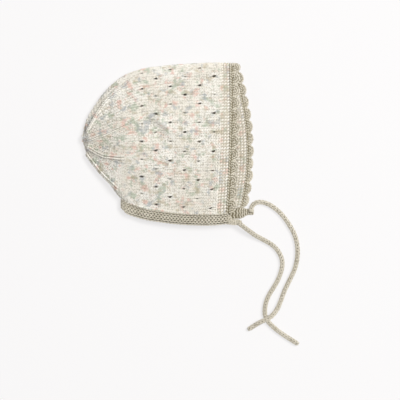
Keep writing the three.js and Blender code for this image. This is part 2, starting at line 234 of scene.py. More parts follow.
# %% [markdown]
# ## A row of loops
# A loop of plain knitting leans to and fro along its row, swings up and down across it, and lies
# in front at its legs and behind at its top. Three sines draw that, and they join one loop to the
# next with no seam. A curve with handles could draw one loop more freely, but every loop here is
# bent by the cloth it lies in, which is simplest on points.

# %% One row of loops
SAMPLES = 8
LOOP_LEAN, LOOP_REACH, LOOP_RISE = 0.28, 0.76, 0.50


def loops(stitches):
    """One row of loops: places along it in stitches, across it in rows, and outward."""
    t = np.arange(stitches * SAMPLES + 1) / SAMPLES
    turn = 2 * math.pi * t
    along = t + LOOP_LEAN * np.sin(2 * turn)
    return along, -LOOP_REACH * np.cos(turn), -LOOP_RISE * np.cos(2 * turn)


print("a loop has", SAMPLES, "points")

# %% [markdown]
# ## The ties
# Each tie is a cord knitted on four stitches, which closes itself into a round tube of four
# columns, so from any side one full column of V shapes shows with half a column on each side. It
# is made by running the row of loops round and round along the tie's middle line. A thin core
# inside keeps light from passing through. The near tie leaves the upper layer's end of the neck
# band, the far tie leaves the lower layer's, and the far one crosses over the near one. A curve
# with a bevel would be quicker, but would show no stitches.

# %% Where the ties lie
TO_MIDDLE = np.array([0.13, 0.55, 0.0])  # puts the origin under the middle of the bonnet
TIE_DIAMETER = 4.7
NEAR_ROUTE = [
    (59.0, -67.4, 8.8), (61.2, -69.1, 8.6), (65.2, -72.2, 8.0), (69.4, -75.3, 6.5),
    (74.0, -78.5, 4.5), (79.0, -81.2, 2.9), (83.5, -83.6, 2.4), (88.0, -86.4, 2.4),
    (91.8, -90.0, 2.4), (94.6, -94.3, 2.4), (96.4, -99.2, 2.4), (96.6, -104.4, 2.4),
    (95.4, -109.8, 2.4), (93.0, -116.0, 2.4), (89.6, -122.2, 2.4), (85.8, -128.3, 2.4),
    (83.0, -134.5, 2.4), (81.8, -141.0, 2.4), (82.0, -146.4, 2.4), (84.2, -151.4, 2.4),
    (88.4, -155.9, 2.4), (94.4, -160.8, 2.4), (102.0, -165.9, 2.4), (110.7, -171.3, 2.4),
]
FAR_ROUTE = [
    (69.3, -58.4, 2.5), (69.9, -56.1, 2.5), (71.2, -52.9, 2.5), (73.8, -50.6, 2.4),
    (77.0, -49.8, 2.4), (80.8, -50.2, 2.4), (85.2, -51.8, 2.4), (91.0, -55.6, 2.4),
    (97.0, -61.4, 2.4), (102.3, -68.8, 2.4), (106.8, -77.0, 2.4), (109.3, -86.5, 2.4),
    (109.5, -96.5, 2.4), (107.4, -106.5, 2.4), (103.4, -115.4, 2.4), (99.0, -124.5, 2.4),
    (95.8, -133.0, 2.6), (92.2, -141.0, 4.2), (87.6, -146.6, 6.9), (82.6, -149.6, 7.7),
    (77.6, -152.0, 6.3), (73.2, -154.8, 4.0), (70.0, -157.0, 2.7), (67.0, -158.8, 2.4),
]


def through(x, y, at):
    """A smooth curve through the places y at x, read at at."""
    slope = np.diff(y, axis=0) / np.diff(x).reshape((-1,) + (1,) * (y.ndim - 1))
    lean = np.concatenate([slope[:1], (slope[1:] + slope[:-1]) / 2, slope[-1:]])
    at = np.asarray(at, float)
    i = np.clip(np.searchsorted(x, at) - 1, 0, len(x) - 2)
    span = (x[i + 1] - x[i]).reshape(at.shape + (1,) * (y.ndim - 1))
    t = (at - x[i]).reshape(span.shape) / span
    before = y[i] * (2 * t**3 - 3 * t**2 + 1) + lean[i] * span * (t**3 - 2 * t**2 + t)
    return before + y[i + 1] * (3 * t**2 - 2 * t**3) + lean[i + 1] * span * (t**3 - t**2)


print("near tie by", len(NEAR_ROUTE), "points, far tie by", len(FAR_ROUTE))

# %% [markdown]
# ## Knitting along a tie
# The loops go round the middle line as a screw thread does, four to a turn. Towards the free end
# the tube closes over its last stitches, so the yarn draws in to the middle there.

# %% Knit the ties
TIE_ROW, TIE_YARN, TIE_STITCHES = 2.7, 0.50, 4
TIE_CORE, CORE_SHORTER = 1.1, 5  # radius in millimetres, and points left off at each end
TIE_MARGIN, TIE_CLOSING = 0.4, 3.0  # bare ends, and the length over which the tube closes


def knit_tie(name, route, course):
    """A round cord of loops along a route."""
    route = np.array(route) + TO_MIDDLE
    knots = reached(route)
    line = through(knots, route, np.linspace(0, knots[-1], 300))
    reach = reached(line)
    length = float(reach[-1])
    along, up, rise = loops(TIE_STITCHES * round(length / TIE_ROW))
    at = np.linspace(0, length, len(along)) + up * TIE_ROW
    at = np.clip(at, TIE_MARGIN, length - TIE_MARGIN)
    middle = read_line(at, reach, line)
    ahead = unit(read_line(at, reach, np.gradient(line, axis=0)))
    aside = unit(np.cross(ahead, (0, 0, 1)))
    upward = np.cross(aside, ahead)
    angle = 2 * math.pi * (along - 0.5) / TIE_STITCHES
    out = np.cos(angle)[:, None] * upward + np.sin(angle)[:, None] * aside
    left = np.minimum(1, (length - at + TIE_MARGIN / 2) / TIE_CLOSING)
    rounded = np.sqrt(1 - (1 - left) ** 2)
    away = (TIE_DIAMETER / 2 - TIE_YARN - LOOP_RISE + rise * 0.9) * rounded
    strands = Strands()
    strands.add(middle + out * away[:, None], out, TIE_YARN * (0.5 + 0.5 * rounded), course)
    inside = line[CORE_SHORTER:-CORE_SHORTER]
    strands.add(inside, np.broadcast_to((0.0, 0.0, 1.0), inside.shape), TIE_CORE, course + 1)
    tie = strands.mesh(name + "_cord")
    # The core takes the tie's second material, darkened greige wool, which is painted shade between
    # the stitches.
    core = np.zeros(len(tie.data.polygons), np.int32)
    yarn_quads = (len(at) - 1) * YARN_SIDES
    core[yarn_quads:yarn_quads + (len(inside) - 1) * YARN_SIDES] = 1
    tie.data.polygons.foreach_set("material_index", core)
    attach(tie, "root")
    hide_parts(name)
    line[::4] * MM
    print(name, "is", round(length, 1), "mm long")
    return tie


tie_near = knit_tie("tie_near", NEAR_ROUTE, 0)
tie_far = knit_tie("tie_far", FAR_ROUTE, 2)

# %% [markdown]
# ## The shape of the bag
# The bag is given by a few cross-sections between the face edge and the point at the back of the
# head. Each row of the table says where the top fold, the middle of each layer and the two neck
# edges lie, and how high the cloth stands. A smooth curve through each column gives every section
# between. The same table shapes the solid model, so the stitches lie exactly in its walls.

# %% Sections and folds
SECTION_COLUMNS = (
    "rows topX topY midNearX midFarX nearX nearY farX farY fold shoulder crest lip shut"
).split()
SECTIONS = np.array([
    (0.00, 51.5, 69.2, 51.2, 65.6, 48.5, -59.3, 60.5, -54.5, 5.5, 11.0, 25.0, 13.2, 0.0),
    (0.06, 43.4, 69.4, 43.2, 57.0, 40.0, -60.3, 52.0, -55.2, 5.8, 12.0, 26.0, 13.2, 0.0),
    (0.25, 19.5, 68.6, 19.5, 28.5, 17.5, -60.2, 25.0, -55.8, 6.2, 13.0, 28.0, 13.2, 0.0),
    (0.45, -5.5, 66.6, -5.0, -1.0, -5.5, -58.0, -2.0, -54.5, 6.4, 13.5, 28.5, 12.6, 0.0),
    (0.62, -26.5, 63.0, -25.5, -24.0, -26.5, -54.0, -25.5, -52.0, 6.4, 13.5, 27.5, 11.2, 0.2),
    (0.72, -40.5, 57.2, -37.0, -37.0, -41.0, -47.3, -41.0, -47.3, 6.2, 12.5, 25.5, 12.0, 1.0),
    (0.80, -52.0, 47.6, -46.5, -46.5, -52.0, -33.6, -52.0, -33.6, 5.8, 11.5, 22.5, 11.5, 1.0),
    (0.88, -62.5, 34.5, -56.5, -56.5, -61.5, -22.8, -61.5, -22.8, 5.2, 10.0, 18.5, 10.0, 1.0),
    (0.95, -71.2, 19.5, -66.5, -66.5, -70.2, -10.0, -70.2, -10.0, 4.6, 8.5, 13.5, 8.5, 1.0),
    (1.00, -74.0, 7.5, -73.2, -73.2, -73.8, 1.5, -73.8, 1.5, 4.0, 7.0, 8.5, 7.0, 1.0),
])
FACE_BAND_ROWS, NAPE_ROWS, BACK_ROWS = 0.06, 0.72, 0.985
# x1, y1, x2, y2, width, lift: soft ridges and dents of the upper layer, seen from above
FOLDS = [
    (-33, 52, -54, 34, 3.2, 1.0),  # ridge inside the back fold, top
    (-54, 34, -70, 9, 3.2, 1.0),  # ridge inside the back fold, back
    (-24, 23, -70, 2, 3.4, 2.2),  # crown ridge
    (-28, 14, -66, -3, 4.5, -2.0),  # hollow under the crown ridge
    (-37, -12, -70, -4, 3.2, 1.0),  # lower crown ridge
    (-42, -38, -70, -9, 3.0, 0.8),  # ridge inside the back fold, neck
    (-24, 24, -7, 10, 4.5, -2.6),  # dent from crown to side
    (-28, 16, -12, 4, 7.0, -2.0),  # lower cloth beside the dent
    (-7, 18, -2, 14, 3.4, 2.4),  # knob at the dent's end
    (-3, 9, 3, -8, 5.0, -1.2),  # crease down the side
    (-34, 38, -50, 26, 6.0, -1.0),  # hollow behind the top
]
print(len(SECTIONS), "sections,", len(FOLDS), "folds")

# %% [markdown]
# ## The two layers of cloth
# The lower layer lies flat and turns up round the top fold. The upper layer rises over the turn,
# swells in the middle and falls to the neck edge. Behind the nape both are closed there too. A
# cloth simulation could settle a flat sheet like this, but a bonnet is knitted to its shape and
# never was flat, and the solid model needs the very same surface, so it is a formula.

# %% Shape the layers
SHOULDER_RUN = 11.0  # how far the upper layer takes to turn away from its edges
DOME_POWER = 1.3
LARGEST_TURN = 0.45  # of the layer's height


def read_column(name, at):
    """A smooth curve through one column of the table of sections."""
    return through(SECTIONS[:, 0], SECTIONS[:, SECTION_COLUMNS.index(name)], at)


def turned(distance, radius):
    """How far a round turn has come, 0 at the fold and 1 where it ends."""
    left = 1 - np.minimum(distance / radius, 1)
    return np.sqrt(1 - left * left)


def fold_lift(x, y):
    """The sum of the soft ridges and dents at places seen from above."""
    lift = np.zeros_like(x)
    for x1, y1, x2, y2, width, height in FOLDS:
        ax, ay = x2 - x1, y2 - y1
        share = np.clip(((x - x1) * ax + (y - y1) * ay) / (ax * ax + ay * ay), 0, 1)
        away = np.hypot(x - x1 - share * ax, y - y1 - share * ay)
        lift += height * np.exp(-((away / width) ** 2))
    return lift


def layer_points(rows, upper, s):
    """Places on one layer's outside, s = 0 at the neck and 1 at the top fold."""
    col = {name: read_column(name, rows) for name in SECTION_COLUMNS}
    low_x, low_y = (col["nearX"], col["nearY"]) if upper else (col["farX"], col["farY"])
    mid_x = col["midNearX"] if upper else col["midFarX"]
    bulge = mid_x - (low_x + col["topX"]) / 2
    x = low_x + (col["topX"] - low_x) * s + 4 * s * (1 - s) * bulge
    y = low_y + (col["topY"] - low_y) * s
    height = math.hypot(col["topX"] - low_x, col["topY"] - low_y)
    from_top, from_low = (1 - s) * height, s * height
    shut = min(max(col["shut"], 0.0), 1.0)
    if not upper:
        radius = min(col["fold"], height * LARGEST_TURN)
        low_turn = 1 + (turned(from_low, radius) - 1) * shut
        z = np.maximum(0, col["fold"] * (2 - turned(from_top, radius) - low_turn))
        return np.stack([x, y, z], axis=-1)
    run = min(SHOULDER_RUN, height * LARGEST_TURN)
    rim = col["lip"] + (col["shoulder"] - col["lip"]) * s
    closing = turned(from_top, run) * (1 + (turned(from_low, run) - 1) * shut)
    dome = np.sin(math.pi * s) ** DOME_POWER
    settled = np.minimum(1, from_top / SHOULDER_RUN)
    settled = settled * np.minimum(1, from_low / SHOULDER_RUN + 1 - shut)
    z = col["fold"] + (rim - col["fold"]) * closing + (col["crest"] - rim) * dome
    return np.stack([x, y, z + fold_lift(x, y) * settled], axis=-1)


print("the upper layer's neck edge begins at",
      np.round(layer_points(0, True, np.array([0.0]))[0], 1), "mm")

# %% [markdown]
# ## Cloth that can be knitted on
# Knitting is laid out in rows and stitches, not in millimetres. So the bag becomes a grid of
# places and outward directions, and it is read at any share of its rows and columns. Every loop
# finds its place in the cloth this way. A shrinkwrap modifier would need the loops to lie near
# the cloth first, which is the hard part.

# %% Lay the grid of the bag
PER_LAYER = 90  # columns of the grid
RINGS = 221


class Cloth:
    """A grid of places and outward directions, read at any rows and share of its columns."""

    def __init__(self, grid, row_values, closed_from=None):
        self.grid, self.row_values = grid, row_values
        across, along = np.gradient(grid, axis=1), np.gradient(grid, axis=0)
        if closed_from is not None:
            shut = row_values >= closed_from
            joined = (grid[shut, 1] - grid[shut, -2]) / 2
            across[shut, 0], across[shut, -1] = joined, joined
        self.out = unit(np.cross(across, along))

    def at(self, rows, share):
        """The place on the cloth and the way out of it."""
        rows, share = np.broadcast_arrays(np.asarray(rows, float), np.asarray(share, float))
        i = np.interp(rows, self.row_values, np.arange(len(self.row_values)))
        j = np.clip(share, 0, 1) * (self.grid.shape[1] - 1)
        i0 = np.clip(i.astype(int), 0, len(self.row_values) - 2)
        j0 = np.clip(j.astype(int), 0, self.grid.shape[1] - 2)
        fi, fj = (i - i0)[..., None], (j - j0)[..., None]

        def mixed(values):
            low = values[i0, j0] * (1 - fj) + values[i0, j0 + 1] * fj
            high = values[i0 + 1, j0] * (1 - fj) + values[i0 + 1, j0 + 1] * fj
            return low * (1 - fi) + high * fi

        return mixed(self.grid), unit(mixed(self.out))


def even_line(line):
    """Places spread evenly along a line across one layer."""
    reach = reached(line)
    return read_line(np.linspace(0, reach[-1], PER_LAYER + 1), reach, line)


def bag_ring(rows):
    """The bag's outside at one section, from the upper neck edge round to the lower one."""
    s = np.sin(np.linspace(0, math.pi / 2, 241))
    up = even_line(layer_points(rows, True, s))
    down = even_line(layer_points(rows, False, s))[::-1]
    return np.concatenate([up, down[1:]]) + TO_MIDDLE


row_values = np.linspace(0, 1, RINGS)
bag = Cloth(np.array([bag_ring(rows) for rows in row_values]), row_values, NAPE_ROWS)
ring_length = np.linalg.norm(np.diff(bag.grid, axis=1), axis=2).sum(axis=1)
print("cloth round the face edge", round(ring_length[0]), "mm, at the nape",
      round(float(np.interp(NAPE_ROWS, row_values, ring_length))), "mm")

# %% [markdown]
# ## The lace
# Plain knitting is rows of loops, each pulled through the one below, and from the front only
# their two legs show, as columns of small V shapes. Every sixth row has a hole every sixth stitch,
# set half-way between the holes of the row before. The knitter makes one by winding the yarn over
# the needle and knitting two stitches together, which leaves a slanted slit, so the loops beside
# it are pushed apart. Cutting holes with a boolean would cut the yarn, which never happens.

# %% The eyelets
STITCHES = 100  # round both layers
LACE_ROWS = 40
STITCH, ROW = 2.68, 2.05
HOLE_EVERY, HOLE_FIRST_ROW, LAST_HOLES = 6, 2, 5
HOLE_ACROSS, HOLE_LONG, HOLE_SLANT = 1.30, 2.25, math.radians(22)  # to the yarn beside it
HOLE_SIZE, HOLE_UNEVEN = 0.88, 0.17
PUSH_POWER = 2.6


def to_hole(along, row):
    """Distances in millimetres from the nearest eyelet, across its slit and along it."""
    nearest = np.minimum(np.round((row - HOLE_FIRST_ROW) / HOLE_EVERY), LAST_HOLES)
    first = np.where(nearest % 2 == 0, 2, 5) + 3 * (along > STITCHES / 2)
    column = np.round((along - first) / HOLE_EVERY)
    aside = (along - first - HOLE_EVERY * column) * STITCH
    behind = (row - HOLE_FIRST_ROW - HOLE_EVERY * nearest) * ROW
    cos, sin = math.cos(HOLE_SLANT), math.sin(HOLE_SLANT)
    size = HOLE_SIZE + HOLE_UNEVEN * np.sin(4.7 * nearest + 2.9 * column)
    across, lengthwise = aside * cos + behind * sin, behind * cos - aside * sin
    return across / size, lengthwise / size, size


def open_holes(along, row):
    """Pushes the yarn near each eyelet out to the edge of its slit."""
    across, lengthwise, size = to_hole(along, row)
    far = np.maximum(np.hypot(across / HOLE_ACROSS, lengthwise / HOLE_LONG), 0.05)
    push = (1 + far**PUSH_POWER) ** (1 / PUSH_POWER) / far - 1
    cos, sin = math.cos(HOLE_SLANT), math.sin(HOLE_SLANT)
    aside = (across * cos - lengthwise * sin) * push * size
    behind = (across * sin + lengthwise * cos) * push * size
    return along + aside / STITCH, row + behind / ROW, np.exp(-(far**2) / 2)


print("holes every", HOLE_EVERY * STITCH, "mm round and", HOLE_EVERY * ROW, "mm back")

# %% [markdown]
# ## The rows of the lace
# One strand is one row, all the way from the near neck edge over the top to the far one. No two
# hand-made loops are alike, so each has its own tension, which changes its height and thickness,
# and each wanders a little. The lace is two pieces, front and back, because one would have too
# many faces to handle.

# %% Knit the lace
ROW_SHARE = (NAPE_ROWS - FACE_BAND_ROWS) / LACE_ROWS
YARN_RADIUS = 0.56
LOOP_DEPTH = YARN_RADIUS + LOOP_RISE
UNEVEN = 0.07
rng = np.random.default_rng(7)


def knit_lace(name, first, last):
    """The rows from first to last, which carry the eyelets."""
    strands = Strands()
    marks = np.arange(STITCHES + 1)
    for n in range(first, last):
        along, up, rise = loops(STITCHES)
        tension = np.interp(along, marks, rng.normal(0, UNEVEN, STITCHES + 1))
        wander = np.interp(along, marks + 0.5, rng.normal(0, UNEVEN, STITCHES + 1))
        along = along + wander
        along, row, near = open_holes(along, n + up * (1 + tension))
        place, out = bag.at(FACE_BAND_ROWS + (row + 0.5) * ROW_SHARE, along / STITCHES)
        depth = LOOP_DEPTH - rise * (1 + 2 * tension) + 0.2 * near
        strands.add(place - out * depth[:, None], out, YARN_RADIUS * (1 + tension), n)
    return strands.mesh(name)


lace_front = knit_lace("lace_front", 0, 20)
lace_back = knit_lace("lace_back", 20, LACE_ROWS)

# %% [markdown]
# ## The wall of the lace
# Two cells of this wall go to a stitch, and those inside an eyelet are left out, so an eyelet
# shows the hollow behind it, darker from the real shade inside and from the walls' painted shade.

# %% The lace wall
WALL_TOP, WALL_THICK = 1.3, 0.25
WALL_HOLE_ACROSS, WALL_HOLE_LONG = 1.2, 2.3
cells = np.linspace(0, LACE_ROWS, LACE_ROWS * 2 + 1)
columns = np.linspace(0, STITCHES, STITCHES * 2 + 1)
place, out = bag.at(FACE_BAND_ROWS + cells[:, None] * ROW_SHARE, columns[None, :] / STITCHES)
mid_row, mid_column = (cells[1:] + cells[:-1]) / 2, (columns[1:] + columns[:-1]) / 2
middles = np.broadcast_arrays(mid_column[None, :], mid_row[:, None] - 0.5)
across, lengthwise, _ = to_hole(*middles)
solid = (across / WALL_HOLE_ACROSS) ** 2 + (lengthwise / WALL_HOLE_LONG) ** 2 > 1
lace_wall = thick_sheet("lace_wall", place, out, WALL_TOP, WALL_THICK, solid)

# %% [markdown]
# ## Ropes along an edge
# Borders on knitting are picked-up or crocheted stitches, and from above they read as a yarn
# wound round and round a line: a row of slanted strokes with dark gaps between. One helper winds
# such a yarn round any line on the cloth, and it makes the face band, the rims and the scallops.

# %% A yarn wound round a line
def rope(strands, surface, path, pitch, radius, side, sink, depth, course):
    """Winds a yarn round path, which is in the surface's own two coordinates in millimetres.
    side is how far it swings across the path and sink how far in and out."""
    path = np.asarray(path, float)
    reach = reached(path)
    turns = max(1, round(reach[-1] / pitch))
    t = np.arange(turns * SAMPLES + 1) / SAMPLES
    at = t / turns * reach[-1]
    line = read_line(at, reach, path)
    ahead = unit(np.gradient(line, axis=0))
    swing = side * np.sin(2 * math.pi * t)[:, None]
    line = line + swing * np.stack([-ahead[:, 1], ahead[:, 0]], axis=1)
    place, out = surface(line[:, 0], line[:, 1])
    inward = depth - sink * np.cos(2 * math.pi * t)
    strands.add(place - out * inward[:, None], out, radius, course)


print("a wound yarn has", SAMPLES, "points a turn")

# %% [markdown]
# ## The face band
# The first rows of the bonnet are purl ridges, which stand up thicker than plain knitting and keep
# the edge from rolling. From the front a ridge is a row of slanted strokes, so each is one wound
# yarn all round the face. A thinner one covers the step to the lace.

# %% Knit the face band
FACE_LENGTH = float(ring_length[0])
BAND_WIDE = 8.1  # from the face edge to the lace
FACE_WALL = 3.2
FACE_PITCH = 2.6
# how far in from the edge, how far the yarn swings to each side, and its radius
FACE_RIDGES = [(1.40, -0.66, 0.76), (3.90, -0.66, 0.76), (6.35, -0.64, 0.74), (8.25, -0.35, 0.50)]


def on_face_band(along, inward):
    """Places in the face band, at millimetres along the face edge and in from it."""
    return bag.at(inward / BAND_WIDE * FACE_BAND_ROWS, along / FACE_LENGTH)


face_rope = Strands()
full = np.linspace(0, FACE_LENGTH, 400)
for course, (inward, side, radius) in enumerate(FACE_RIDGES):
    path = np.stack([full, np.full_like(full, inward)], axis=1)
    rope(face_rope, on_face_band, path, FACE_PITCH, radius, side, 0.80, FACE_WALL / 2, 60 + course)
face_ropes = face_rope.mesh("face_ropes")
inward = np.linspace(0.25, BAND_WIDE, 5)
place, out = on_face_band(full[:, None], inward[None, :])
face_wall = thick_sheet("face_wall", place[::-1], out[::-1], 1.25, 0.7)

# %% [markdown]
# ## The rims along the neck
# Where the greige band is picked up, the last column of ivory stitches turns into a small ridge.
# It is the same wound yarn again, thinner, along both edges.

# %% Wind the neck rims
BAG_LONG, BAG_ROUND = 124.0, 268.0  # millimetres
neck_rim = Strands()
for course, edge in enumerate((0.004, 0.996)):
    def beside_neck(along, up):
        return bag.at(along / BAG_LONG, edge + up / BAG_ROUND)

    line = np.linspace(1.0, NAPE_ROWS * BAG_LONG - 1.0, 200)
    path = np.stack([line, 0 * line], axis=1)
    rope(neck_rim, beside_neck, path, 2.1, YARN_RADIUS, 0.45, 0.75, 1.0, 70 + course)
neck_rims = neck_rim.mesh("neck_rims")

# %% [markdown]
# ## The crown
# Behind the nape the bag is closed, and the knitter takes it in to a point. The decreases are
# stacked in lines, and between two lines the columns of stitches run straight. So each ring here
# has its stitches shared out between eight gores, fewer in each ring. A cone with its faces
# subdivided would keep the same number all the way, and its stitches would shrink to nothing.

# %% Knit the crown
CROWN_RINGS = 17
CROWN_UNEVEN = 0.05
GORES = [0.045, 0.17, 0.30, 0.455, 0.545, 0.70, 0.83, 0.955]
ring_rows = np.linspace(NAPE_ROWS + 0.008, BACK_ROWS + 0.006, CROWN_RINGS)


def crown_stitches(length):
    """Where the stitches of a ring begin, as shares of it."""
    marks = []
    for start, end in zip(GORES, GORES[1:] + [GORES[0] + 1]):
        count = max(1, 2 * round((end - start) * length / STITCH / 2))
        marks.append(start + (end - start) * np.arange(count) / count)
    return np.concatenate(marks + [[GORES[0] + 1]])


crown_yarn = Strands()
ring_step = ring_rows[1] - ring_rows[0]
counts = []
for n, rows in enumerate(ring_rows):
    marks = crown_stitches(float(np.interp(rows, row_values, ring_length)))
    counts.append(len(marks) - 1)
    along, up, rise = loops(len(marks) - 1)
    tension = np.interp(along, np.arange(len(marks)), rng.normal(0, CROWN_UNEVEN, len(marks)))
    share = np.interp(along, np.arange(len(marks)), marks) % 1.0
    place, out = bag.at(rows + up * (1 + tension) * ring_step, share)
    depth = LOOP_DEPTH - rise
    crown_yarn.add(place - out * depth[:, None], out, YARN_RADIUS * (1 + tension), 80 + n)
print("stitches in each ring of the crown", counts)

# %% [markdown]
# ## Decrease ridges
# Decreases stacked one over another leave a pair of raised chains that run from the lace to the
# point. Each pair is given by three places seen from above, brought to the cloth under them, and
# the lower layer has the same ones turned over.

# %% Raise the ridges
RIDGES = [
    ((-32, 53), (-54.5, 34.5), (-70, 9)), ((-23, 23.5), (-46, 11), (-70, 3)),
    ((-37, -12), (-55, -10), (-70, -2)), ((-42, -39), (-57, -25), (-71, -7)),
]
RIDGE_YARN, RIDGE_PITCH = 0.70, 2.05
RIDGE_APART = (1.25, 0.8)  # from the middle to each chain, where it starts and at the point


def seen_from_above(x, y):
    """The rows and share of the place on the upper layer that lies at x, y."""
    upper_grid = bag.grid[:, :PER_LAYER + 1]
    away = np.hypot(upper_grid[..., 0] - x, upper_grid[..., 1] - y)
    i, j = np.unravel_index(np.argmin(away), away.shape)
    return row_values[i], j / (2 * PER_LAYER)


def smoothed(values):
    """Each value made the mean of the seven round it."""
    return np.convolve(np.pad(values, 3, mode="edge"), np.ones(7) / 7, mode="valid")


for course, corners in enumerate(RIDGES):
    seen = through(np.array([0.0, 0.5, 1.0]), np.array(corners, float), np.linspace(0, 1, 31))
    rows, share = np.array([seen_from_above(*place) for place in seen]).T
    rows, share = smoothed(rows), smoothed(share)
    girth = np.interp(rows, row_values, ring_length)
    knots = reached(seen)
    for aside in (-1, 1):
        for upper in (True, False):
            def beside_ridge(along, across):
                middle = np.interp(along, knots, share) + across / np.interp(along, knots, girth)
                middle = (middle if upper else 1 - middle) % 1.0
                return bag.at(np.clip(np.interp(along, knots, rows), 0, 1), middle)

            line = np.stack([knots, aside * np.interp(knots, [0, knots[-1]], RIDGE_APART)], axis=1)
            rope(crown_yarn, beside_ridge, line, RIDGE_PITCH, RIDGE_YARN, 0.20, 0.20, -0.25,
                 100 + course)
print("ridges:", 2 * len(RIDGES), "pairs of chains")

# %% [markdown]
# ## The back point
# A knitter usually threads the yarn through the last stitches and draws them together. How this
# bonnet is closed can't be seen, so three small rings of yarn, each inside the other, stand for
# it, and the wall closes with them. A disc would close the point too, but would show no yarn.

# %% Close the point
BACKWARDS = (-1.0, 0.0, 0.0)
POINT_SIDES = 97
POINT_RINGS, POINT_YARN = (0.84, 0.56, 0.28), 0.75
WALL_RINGS = np.array((0.75, 0.4, 0.02))
last_ring = bag.at(1.0, np.linspace(0, 1, POINT_SIDES))[0]
back_point = last_ring.mean(axis=0)
for n, share in enumerate(POINT_RINGS):
    drawn_in = back_point + (last_ring - back_point) * share
    crown_yarn.add(drawn_in, np.broadcast_to(BACKWARDS, drawn_in.shape), POINT_YARN, 110 + n)
crown_knit = crown_yarn.mesh("crown_knit")

cells = np.linspace(NAPE_ROWS, 1.0, 40)
columns = np.linspace(0, 1, POINT_SIDES)[:-1]
place, out = bag.at(cells[:, None], columns[None, :])
closing = back_point + (last_ring[:-1] - back_point) * WALL_RINGS[:, None, None]
place = np.concatenate([place, closing])
out = np.concatenate([out, np.broadcast_to(BACKWARDS, closing.shape)])
crown_wall = thick_sheet("crown_wall", place, out, WALL_TOP, WALL_THICK, closed=True)
print("back point at", np.round(back_point, 1), "mm")

# %% [markdown]
# ## The scalloped edge
# A crochet hook makes a shell by working several posts into one place and a chain over their
# tops. Every shell here is three arcs of wound yarn, one inside the other, over a thin wall with
# a small hole in it. The shells stand on a plain row worked into the face band. One shell could
# be modelled and copied, but the face edge bends and twists under them, so each is wound in place.

# %% Past the face edge
SHELLS = 24
SHELL_CURL = 0.3  # the under layer's shells curl up, and look shorter
shell_wide = FACE_LENGTH / SHELLS
edge_line = bag.grid[0]
edge_way = unit(edge_line - bag.at(0.03, np.linspace(0, 1, len(edge_line)))[0])


def past_face(along, beyond):
    """Places past the face edge, at millimetres along it and out from it."""
    share = np.clip(along / FACE_LENGTH, 0, 1)
    place, out = bag.at(0, share)
    at = share * (len(edge_line) - 1)
    way = read_line(at, np.arange(len(edge_line)), edge_way)
    curl = 1 - SHELL_CURL * np.clip((share - 0.5) / 0.15, 0, 1)
    place = place + unit(way) * (np.asarray(beyond) * curl)[..., None]
    place[..., 2] = np.maximum(place[..., 2], 0)
    return place, out


print(SHELLS, "shells,", round(shell_wide, 2), "mm wide")

# %% [markdown]
# ## The shells
# A hand doesn't make two shells alike, so each is a little deeper or shallower than the next.

# %% Crochet the shells
SHELL_WALL = 2.4
SHELL_PITCH, SHELL_STAND = 2.1, 2.3  # of the winding, and from the face edge to an arc's feet
SHELL_ARCS = [(5.1, 5.9, 0.80), (3.2, 4.2, 0.70), (1.4, 2.5, 0.60)]  # half width, depth, radius
SHELL_UNEVEN, SHELL_TILT, SHELL_ROUND = 0.04, 0.25, 0.8
shell_yarn = Strands()
path = np.stack([full, np.full_like(full, 0.75)], axis=1)
rope(shell_yarn, past_face, path, 2.4, 0.68, -0.35, 0.45, SHELL_WALL / 2, 130)
bend = np.linspace(0, math.pi, 40)
for n in range(SHELLS):
    middle = (n + 0.5) * shell_wide
    size = 1 + rng.normal(0, SHELL_UNEVEN)
    for course, (wide, deep, thick) in enumerate(SHELL_ARCS):
        tilt = SHELL_TILT * np.cos(bend)
        beyond = SHELL_STAND + deep * size * np.sin(bend) ** SHELL_ROUND + tilt
        arc = np.stack([middle - wide * np.cos(bend), beyond], axis=1)
        rope(shell_yarn, past_face, arc, SHELL_PITCH, thick, 0.20, 0.35, SHELL_WALL / 2,
             140 + 3 * n + course)
shells = shell_yarn.mesh("shells")

# %% [markdown]
# ## The wall of the shells
# It follows the shells' outline and is a millimetre shorter, so the yarn always stands past it.
# One cell in each shell is left out, which is the small hole.

# %% The shell wall
SHELL_BASE, SHELL_DEEP = 3.2, 8.4
WALL_SHORTER, WALL_ROUND = 1.0, 0.7
SHELL_CELLS, SHELL_LEVELS = 8, 5  # cells of the wall along one shell, and out from the edge
columns = np.linspace(0, FACE_LENGTH, SHELLS * SHELL_CELLS + 1)
share = (columns / shell_wide) % 1
height = SHELL_DEEP - WALL_SHORTER - SHELL_BASE
reach = SHELL_BASE + height * np.maximum(np.sin(math.pi * share), 0) ** WALL_ROUND
levels = np.linspace(0, 1, SHELL_LEVELS + 1)[:, None]
place, out = past_face(columns[None, :], levels * reach[None, :])
solid = np.ones((SHELL_LEVELS, SHELLS * SHELL_CELLS), bool)
solid[2, 3::SHELL_CELLS] = False
shell_wall = thick_sheet("shell_wall", place[::-1], out[::-1], 1.0, 0.5, solid[::-1])

# %% [markdown]
# ## The neck band
# A narrow strip of plain knitting in the greige yarn. It goes past the face edge at both ends,
# narrows there, and turns round the nape at the back. It is laid out as stations, each of them a
# short line across the strip. A curve with a bevel would keep one section all the way, and could
# not sag or narrow on one side only.

# %% Stations of the neck band
BAND_GAP, BAND_WIDTH, BAND_END_WIDTH = -0.5, 10.3, 5.2
BAND_REACH, TURN_ROWS, LEVEL_ROWS = 12.5, 0.69, 0.55
TURN_RADIUS, TURN_X, TURN_Y = 4.8, -37.0, -49.6
TURN_BULGE, TURN_NARROWER = 2.0, 2.6
END_DROP_NEAR, END_DROP_FAR, END_SINK, END_BEND = 5.8, 1.6, 3.0, 0.6
TIP_LONG, TIP_WIDE = 2.0, 0.3  # the rounded tip's length, and its width as a share
END_STEPS, SIDE_STEPS = 16, 80


def smooth(x, low, high):
    """0 below low and 1 above high, smoothly between."""
    t = min(max((x - low) / (high - low), 0), 1)
    return t * t * (3 - 2 * t)


